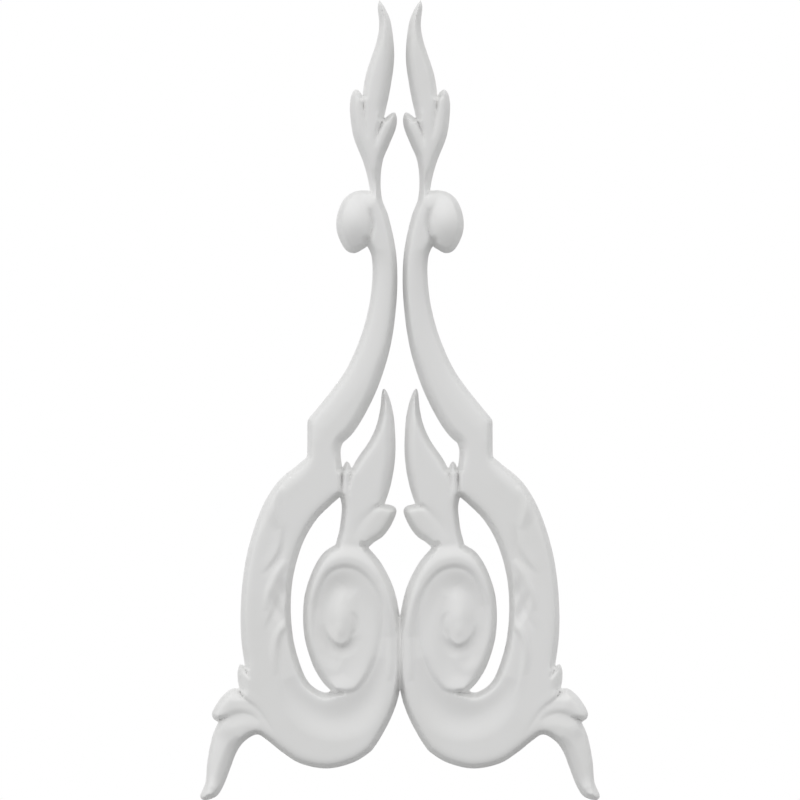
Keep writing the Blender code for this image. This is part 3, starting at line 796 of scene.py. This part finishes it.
@dataclass(frozen=True)
class Pockets:
    """Deep pockets between the members, where the mould's core reaches down beside a wall."""

    def marks(self) -> list[Mark]:
        """List the pockets and the deep notches.

        Returns:
            The marks, in the order of their cutting.
        """
        return [
            # Where the scroll's inner edge meets the volute
            Stroke(
                route=((36.0, -22.4, 1.2), (33.0, -22.2, 1.1), (30.0, -21.8, 1.0),
                       (27.0, -21.5, 0.7)),
                rise=-8.5, left=1.8, right=2.8, left_side=STRAIGHT, fade_out=0.7),
            # Lower outer side of the volute
            Stroke(
                route=((48.8, 9.0, 0.8), (47.4, 2.0, 1.0), (43.9, -8.0, 1.0), (39.4, -16.0, 1.0),
                       (34.8, -21.3, 0.9)),
                rise=-3.2, left=4.2, right=4.2, left_side=ROUND, right_side=ROUND, fade_in=0.25),
            # Notches of the top leaf
            Stroke(
                route=((18.8, 277.4, 1.1, 1.0), (18.5, 273.4, 1.0, 0.6), (18.0, 269.0, 0.9, 0.2),
                       (17.4, 264.0, 0.8, 0.0)),
                rise=-7.0, left=2.0, right=2.0),
            Stroke(
                route=((7.6, 266.0, 1.1, 1.0), (9.2, 262.4, 1.0, 0.7), (10.8, 258.4, 0.9, 0.3),
                       (12.2, 253.0, 0.8, 0.0)),
                rise=-7.0, left=2.2, right=2.2),
            # Notch between the ball and the stalk
            Stroke(
                route=((15.8, 229.6, 1.0, 1.0), (14.2, 227.8, 0.9, 0.6), (13.0, 224.6, 0.8, 0.0)),
                rise=-5.0, left=1.8, right=1.8),
            # Notches of the inner leaf
            Stroke(
                route=((24.1, 91.2, 1.1, 1.0), (24.4, 87.8, 1.0, 0.6), (24.9, 84.0, 0.9, 0.2),
                       (25.2, 80.0, 0.8, 0.0)),
                rise=-8.0, left=2.0, right=2.0),
            Stroke(
                route=((6.8, 72.7, 1.1, 1.0), (9.6, 71.6, 1.0, 0.6), (12.4, 70.2, 0.9, 0.1),
                       (15.0, 68.0, 0.8, 0.0)),
                rise=-8.0, left=2.2, right=2.2),
            # Notches of the foot
            Stroke(
                route=((78.6, -7.2, 1.1, 1.0), (77.3, -10.0, 1.0, 0.8), (75.9, -13.0, 0.9, 0.2),
                       (75.0, -15.0, 0.8, 0.0)),
                rise=-7.0, left=1.8, right=1.8),
            Stroke(
                route=((81.2, -19.2, 1.1, 1.0), (79.9, -21.6, 1.0, 0.8), (78.2, -24.0, 0.9, 0.3),
                       (75.6, -26.4, 0.8, 0.0)),
                rise=-7.0, left=1.8, right=1.8),
            # Where the leaf's lobe meets the volute
            Stroke(
                route=((14.8, 50.9, 1.0), (17.4, 51.1, 1.0), (20.4, 52.0, 0.8)),
                rise=-9.0, left=3.0, right=1.8, left_side=STRAIGHT, fade_out=0.9),
            # Where the tail leaf passes under the foot's lobe
            Stroke(
                route=((91.8, -37.8, 1.2, 1.0), (90.0, -35.8, 1.2, 1.0), (87.6, -34.6, 1.0, 0.4),
                       (85.0, -33.6, 0.8, 0.0)),
                rise=-8.0, left=2.2, right=2.2),
            # Between the kink and the side tooth
            Stroke(
                route=((28.8, 91.2, 1.2, 1.0), (28.9, 87.4, 1.1, 0.7), (29.1, 82.0, 1.0, 0.2),
                       (29.5, 76.0, 1.0, 0.1)),
                rise=-8.0, left=2.0, right=2.0),
        ]


@dataclass(frozen=True)
class PrimedWhite:
    """Factory primer: matt white, with the slight unevenness of a sprayed coat."""

    colour: tuple[float, float, float] = (0.86, 0.86, 0.855)
    thin_colour: tuple[float, float, float] = (0.835, 0.835, 0.825)
    thin_at: float = 0.30
    full_at: float = 0.52
    roughness: float = 0.62
    sheen_spread: float = 0.06
    shine: float = 0.2
    cloud_scale: float = 22.0
    cloud_detail: float = 4.0
    stipple_scale: float = 2200.0
    stipple_detail: float = 2.0
    stipple_height: float = 0.00002
    stipple_strength: float = 0.35

    def material(self) -> bpy.types.Material:
        """Mix the primer.

        Returns:
            A node material on object coordinates.
        """
        material = bpy.data.materials.new(SLOT)
        material.use_nodes = True
        tree = material.node_tree
        shader = tree.nodes["Principled BSDF"]
        shader.inputs["Metallic"].default_value = 0.0
        shader.inputs["Specular IOR Level"].default_value = self.shine
        place = tree.nodes.new("ShaderNodeTexCoord")

        clouds = self.noise(tree, place, self.cloud_scale, self.cloud_detail)
        coat = tree.nodes.new("ShaderNodeValToRGB")
        thin, full = coat.color_ramp.elements
        thin.position, thin.color = self.thin_at, (*self.thin_colour, 1.0)
        full.position, full.color = self.full_at, (*self.colour, 1.0)
        tree.links.new(clouds.outputs["Fac"], coat.inputs["Fac"])
        tree.links.new(coat.outputs["Color"], shader.inputs["Base Color"])

        matt = tree.nodes.new("ShaderNodeMapRange")
        matt.inputs["To Min"].default_value = self.roughness - self.sheen_spread
        matt.inputs["To Max"].default_value = self.roughness + self.sheen_spread
        tree.links.new(clouds.outputs["Fac"], matt.inputs["Value"])
        tree.links.new(matt.outputs["Result"], shader.inputs["Roughness"])

        stipple = self.noise(tree, place, self.stipple_scale, self.stipple_detail)
        bump = tree.nodes.new("ShaderNodeBump")
        bump.inputs["Strength"].default_value = self.stipple_strength
        bump.inputs["Distance"].default_value = self.stipple_height
        tree.links.new(stipple.outputs["Fac"], bump.inputs["Height"])
        tree.links.new(bump.outputs["Normal"], shader.inputs["Normal"])
        return material

    @staticmethod
    def noise(
            tree: bpy.types.NodeTree, place: bpy.types.Node, scale: float,
            detail: float) -> bpy.types.Node:
        """Add an even noise over the piece.

        Args:
            tree: The material's nodes.
            place: The node that gives the place on the piece.
            scale: Grains of the noise in a metre.
            detail: Octaves of finer grains in it.

        Returns:
            The noise's node.
        """
        noise = tree.nodes.new("ShaderNodeTexNoise")
        noise.inputs["Scale"].default_value = scale
        noise.inputs["Detail"].default_value = detail
        tree.links.new(place.outputs["Object"], noise.inputs["Vector"])
        return noise


def lay_sheet(name: str, outline: Outline, margin: float, pitch: float) -> bpy.types.Object:
    """Lay an upright sheet over one half, from the axis to past the outline.

    Args:
        name: Name of the sheet.
        outline: Outline of the half.
        margin: How far the sheet reaches past the outline.
        pitch: Size of its cells.

    Returns:
        The sheet, with its place in its mesh.
    """
    loop = outline.loop(outline.outer)
    width = loop[:, 0].max() + margin
    low, high = loop[:, 1].min() - margin, loop[:, 1].max() + margin
    bpy.ops.object.select_all(action="DESELECT")
    bpy.ops.mesh.primitive_grid_add(
        x_subdivisions=round(width / pitch), y_subdivisions=round((high - low) / pitch),
        size=1.0, location=(width / 2 * MILLIMETRE, 0.0, (low + high) / 2 * MILLIMETRE),
        rotation=(radians(90.0), 0.0, 0.0))
    sheet = bpy.context.active_object
    sheet.name = name
    sheet.scale = (width * MILLIMETRE, (high - low) * MILLIMETRE, 1.0)
    bpy.ops.object.transform_apply(location=True, rotation=True, scale=True)
    return sheet


def points_of(piece: bpy.types.Object) -> Field:
    """Read the places of a piece's vertices.

    Args:
        piece: The piece.

    Returns:
        The places in metres, one a row.
    """
    points = np.empty(3 * len(piece.data.vertices))
    piece.data.vertices.foreach_get("co", points)
    return points.reshape(-1, 3)


def move_points(piece: bpy.types.Object, points: Field) -> None:
    """Put a piece's vertices at new places, one a row, in metres."""
    piece.data.vertices.foreach_set("co", points.ravel())
    piece.data.update()


def ground_of(sheet: bpy.types.Object) -> Ground:
    """Lay out the vertices of a whole sheet in its rows and columns.

    Args:
        sheet: The sheet, before anything is cut away.

    Returns:
        The places of its vertices, in drawn millimetres.
    """
    points = points_of(sheet)
    columns = int(np.count_nonzero(np.abs(points[:, 2] - points[0, 2]) < SAME_LEVEL))
    out, up = points[:, 0].reshape(-1, columns), points[:, 2].reshape(-1, columns)
    return Ground(out / MILLIMETRE, up / MILLIMETRE)


def activate(piece: bpy.types.Object) -> None:
    """Select a piece alone, for the operators.

    Args:
        piece: The piece.
    """
    bpy.ops.object.select_all(action="DESELECT")
    piece.select_set(True)
    bpy.context.view_layer.objects.active = piece


def open_for_editing(piece: bpy.types.Object) -> None:
    """Take a piece into edit mode, by its vertices.

    Args:
        piece: The piece.
    """
    activate(piece)
    bpy.ops.object.mode_set(mode="EDIT")
    bpy.ops.mesh.select_mode(type="VERT")


def cut_away(sheet: bpy.types.Object, waste: NDArray[np.bool_]) -> None:
    """Cut vertices out of a sheet, with the faces on them.

    Args:
        sheet: The sheet.
        waste: True for each vertex that goes.
    """
    sheet.data.polygons.foreach_set("select", np.zeros(len(sheet.data.polygons), dtype=bool))
    sheet.data.edges.foreach_set("select", np.zeros(len(sheet.data.edges), dtype=bool))
    sheet.data.vertices.foreach_set("select", waste)
    open_for_editing(sheet)
    bpy.ops.mesh.delete(type="VERT")
    bpy.ops.object.mode_set(mode="OBJECT")


def add_other_half(sheet: bpy.types.Object) -> None:
    """Mirror a sheet across the axis, and join the halves there.

    Args:
        sheet: The half, which becomes the whole.
    """
    activate(sheet)
    mirror = sheet.modifiers.new("Mirror", "MIRROR")
    mirror.merge_threshold = AXIS_JOIN
    bpy.ops.object.modifier_apply(modifier=mirror.name)


@dataclass
class ScrollApplique:
    """The moulding: outline, side walls, crown and carving, closed with a flat back.

    Its sizes are drawn millimetres. The joint is the web that fuses the volutes on the axis.
    """

    outline: Outline = OUTLINE
    finish: PrimedWhite = PrimedWhite()
    pitch: float = 0.57
    margin: float = 1.5
    edge: float = 4.6
    plateau: float = 12.6
    wall_draft: float = radians(12.8)
    shoulder: float = 2.2
    shoulder_reach: float = 3.0
    shoulder_blend: float = 1.0
    joint_top: float = 30.0
    joint_floor: float = 4.2
    joint_width: float = 3.2
    joint_blend: float = 1.0
    waste_level: float = -6.0
    waste_skin: float = 0.01
    sharp_angle: float = radians(50.0)
    carving_depth: float = 0.62
    carving: list[Mark] = field(default_factory=lambda: [
        *TopLeaf().marks(), *Stem().marks(), *InnerLeaf().marks(), *Scroll().marks(),
        *Volute().marks(), *Foot().marks()])
    standing: list[Mark] = field(default_factory=lambda: [*Knob().marks(), *Pockets().marks()])

    def build(self) -> bpy.types.Object:
        """Make the moulding and hand it to the frame.

        Returns:
            The finished piece.
        """
        piece = lay_sheet("scroll_applique_moulding", self.outline, self.margin, self.pitch)
        self.raise_relief(piece)
        self.trim(piece)
        add_other_half(piece)
        self.close_back(piece)
        self.fit_to_box(piece)
        self.smooth(piece)
        piece.data.materials.append(self.finish.material())
        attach(piece, "root")
        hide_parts(NODE)
        return piece

    def raise_relief(self, sheet: bpy.types.Object) -> None:
        """Raise the flat sheet to the relief, towards the front.

        Args:
            sheet: The sheet.
        """
        points = points_of(sheet)
        points[:, 1] = -self.relief(ground_of(sheet)).ravel() * MILLIMETRE
        move_points(sheet, points)

    def relief(self, ground: Ground) -> Field:
        """Work out the relief over the back.

        Args:
            ground: The sheet's points.

        Returns:
            Height over the back, falling below it off the outline.
        """
        distance = self.outline.distance(ground)
        pitch = ground.out[0, 1] - ground.out[0, 0]
        material = np.clip(distance / pitch + 0.5, 0.0, 1.0)
        crown = self.edge + (self.plateau - self.edge) * self.blurred(material, pitch)
        carved = crown.copy()
        for mark in self.carving:
            mark.carve(ground, carved)
        crown = crown + self.carving_depth * (carved - crown)
        for mark in self.standing:
            mark.carve(ground, crown)
        wall = distance / tan(self.wall_draft)
        height = self.fill_joint(ground, wall, smooth_least(wall, crown, self.shoulder_blend))
        return np.maximum(height, self.waste_level)

    def blurred(self, material: Field, pitch: float) -> Field:
        """Spread the material over its edges, for the crown's rounded shoulders.

        Args:
            material: 1 on the material and 0 off it.
            pitch: Size of the sheet's cells.

        Returns:
            The field blurred over the shoulder's width, as if the other half were there too.
        """
        reach = int(self.shoulder_reach * self.shoulder / pitch) + 1
        kernel = np.exp(-0.5 * (np.arange(-reach, reach + 1) * pitch / self.shoulder) ** 2)
        kernel /= kernel.sum()
        joined = np.hstack([material[:, reach:0:-1], material])
        for axis in (0, 1):
            joined = np.apply_along_axis(np.convolve, axis, joined, kernel, mode="same")
        return joined[:, reach:]

    def fill_joint(self, ground: Ground, wall: Field, height: Field) -> Field:
        """Fill the foot of the valley where the two volutes are fused.

        Args:
            ground: The sheet's points.
            wall: Height of the side walls.
            height: Height of the relief.

        Returns:
            The relief with the web in the valley.
        """
        on_axis = wall[:, :1]
        web = on_axis + self.joint_floor * (1.0 - (ground.out / self.joint_width) ** 2)
        web = np.where((on_axis > 0.0) & (ground.up < self.joint_top), web, self.waste_level)
        filled = -smooth_least(-height, -web, self.joint_blend)
        return np.where(ground.out < self.joint_width, filled, height)

    def trim(self, sheet: bpy.types.Object) -> None:
        """Cut away the waste off the outline, which lies at its lowest level."""
        deepest = -(self.waste_level + self.waste_skin) * MILLIMETRE
        cut_away(sheet, points_of(sheet)[:, 1] > deepest)

    def close_back(self, sheet: bpy.types.Object) -> None:
        """Cut the sheet off at the back plane and close it flat.

        Args:
            sheet: The sheet with both halves.
        """
        open_for_editing(sheet)
        bpy.ops.mesh.select_all(action="SELECT")
        bpy.ops.mesh.bisect(
            plane_co=(0.0, 0.0, 0.0), plane_no=(0.0, 1.0, 0.0), use_fill=True, clear_outer=True)
        bpy.ops.mesh.select_all(action="SELECT")
        bpy.ops.mesh.normals_make_consistent(inside=False)
        bpy.ops.object.mode_set(mode="OBJECT")

    def fit_to_box(self, piece: bpy.types.Object) -> None:
        """Bring the piece exactly into the box of the solid that it stands for.

        Args:
            piece: The closed piece.
        """
        low, high = (np.array(corner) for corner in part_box(NODE))
        points = points_of(piece)
        points[:, 1] = np.minimum(points[:, 1], 0.0)
        least, most = points.min(axis=0), points.max(axis=0)
        logging.info("relief %.2f mm high, outline %.2f by %.2f mm", -least[1] / MILLIMETRE,
                     (most[0] - least[0]) / MILLIMETRE, (most[2] - least[2]) / MILLIMETRE)
        points[:, 0] *= (high[0] - low[0]) / (most[0] - least[0])
        points[:, 1] *= min(1.0, low[1] / least[1])
        points[:, 2] = low[2] + (points[:, 2] - least[2]) * (high[2] - low[2]) / (most[2] - least[2])
        move_points(piece, points)

    def smooth(self, piece: bpy.types.Object) -> None:
        """Shade the piece smooth up to the arris of its back."""
        activate(piece)
        bpy.ops.object.shade_smooth_by_angle(angle=self.sharp_angle)


@dataclass(frozen=True)
class Studio:
    """Plain studio: a soft dome of light, a pale floor, a white card behind and a long lens.

    The card's sizes are drawn millimetres, and the others are metres.
    """

    outline: Outline = OUTLINE
    level: float = 0.824
    from_above: float = 0.58
    from_behind: float = 0.10
    from_left: float = 0.13
    light_colour: tuple[float, ...] = (1.0, 1.0, 1.0, 1.0)
    floor_colour: tuple[float, ...] = (0.78, 0.78, 0.77, 1.0)
    floor_level: float = -0.25
    floor_radius: float = 0.8
    floor_sides: int = 96
    card_colour: tuple[float, ...] = (0.8, 0.8, 0.8, 1.0)
    card_margin: float = 60.0
    card_pitch: float = 1.5
    card_overlap: float = 0.2
    dullness: float = 0.9
    lens: float = 270.0
    distance: float = 3.0
    frame_width: float = 0.4
    middle: float = 0.124

    def dress(self) -> None:
        """Set up the light, the floor, the card, the camera and plain colours."""
        self.light()
        self.lay_floor()
        self.hang_card()
        self.point_camera()
        view = bpy.context.scene.view_settings
        view.view_transform = "Standard"
        view.look = "None"

    def light(self) -> None:
        """Light the room from all round, brighter from above, behind and the left.

        The camera sees a plain backdrop in place of the dome.
        """
        world = bpy.data.worlds.new("studio_dome")
        bpy.context.scene.world = world
        world.use_nodes = True
        nodes, links = world.node_tree.nodes, world.node_tree.links
        nodes.clear()
        place = nodes.new("ShaderNodeTexCoord")
        lean = nodes.new("ShaderNodeVectorMath")
        lean.operation = "DOT_PRODUCT"
        lean.inputs[1].default_value = (-self.from_left, self.from_behind, self.from_above)
        level = nodes.new("ShaderNodeMath")
        level.inputs[1].default_value = self.level
        dome = nodes.new("ShaderNodeBackground")
        backdrop = nodes.new("ShaderNodeBackground")
        for source in (dome, backdrop):
            source.inputs["Color"].default_value = self.light_colour
        path = nodes.new("ShaderNodeLightPath")
        seen = nodes.new("ShaderNodeMixShader")
        out = nodes.new("ShaderNodeOutputWorld")
        links.new(place.outputs["Generated"], lean.inputs[0])
        links.new(lean.outputs["Value"], level.inputs[0])
        links.new(level.outputs["Value"], dome.inputs["Strength"])
        links.new(path.outputs["Is Camera Ray"], seen.inputs["Fac"])
        links.new(dome.outputs["Background"], seen.inputs[1])
        links.new(backdrop.outputs["Background"], seen.inputs[2])
        links.new(seen.outputs["Shader"], out.inputs["Surface"])

    def lay_floor(self) -> None:
        """Lay a pale round floor, clear of the picture, that throws no light upwards."""
        bpy.ops.object.select_all(action="DESELECT")
        bpy.ops.mesh.primitive_circle_add(
            vertices=self.floor_sides, radius=self.floor_radius, fill_type="NGON",
            location=(0.0, 0.0, self.floor_level))
        floor = bpy.context.active_object
        floor.name = "floor"
        bpy.ops.object.transform_apply(location=True, rotation=True, scale=True)
        floor.visible_diffuse = False
        self.paint(floor, self.floor_colour)

    def hang_card(self) -> None:
        """Hang a white card level with the back and cut out round the applique.

        It throws light on the side walls, as a wall does, and the camera doesn't see it.
        """
        card = lay_sheet("card", self.outline, self.card_margin, self.card_pitch)
        covered = self.outline.distance(ground_of(card)).ravel() > self.card_overlap
        cut_away(card, covered)
        add_other_half(card)
        self.paint(card, self.card_colour)
        card.visible_camera = False

    def paint(self, piece: bpy.types.Object, colour: tuple[float, ...]) -> None:
        """Paint a part of the studio a plain dull colour.

        Args:
            piece: The floor or the card, whose name the paint takes.
            colour: The colour, with its alpha.
        """
        material = bpy.data.materials.new(piece.name)
        material.use_nodes = True
        shader = material.node_tree.nodes["Principled BSDF"]
        shader.inputs["Base Color"].default_value = colour
        shader.inputs["Roughness"].default_value = self.dullness
        piece.data.materials.append(material)

    def point_camera(self) -> None:
        """Stand the camera straight in front, far back with a long lens."""
        camera = bpy.data.cameras.new("camera")
        camera.lens = self.lens
        camera.sensor_width = self.lens * self.frame_width / self.distance
        stand = bpy.data.objects.new("camera", camera)
        stand.location = (0.0, -self.distance, self.middle)
        stand.rotation_euler = (radians(90.0), 0.0, 0.0)
        bpy.context.scene.collection.objects.link(stand)
        bpy.context.scene.camera = stand


def main() -> None:
    """Build the applique and the studio, and report each piece."""
    logging.basicConfig(level=logging.INFO, format="%(message)s")
    piece = ScrollApplique().build()
    piece.data.calc_loop_triangles()
    logging.info("%s: %d triangles", piece.name, len(piece.data.loop_triangles))
    Studio().dress()


if __name__ == "__main__":
    main()
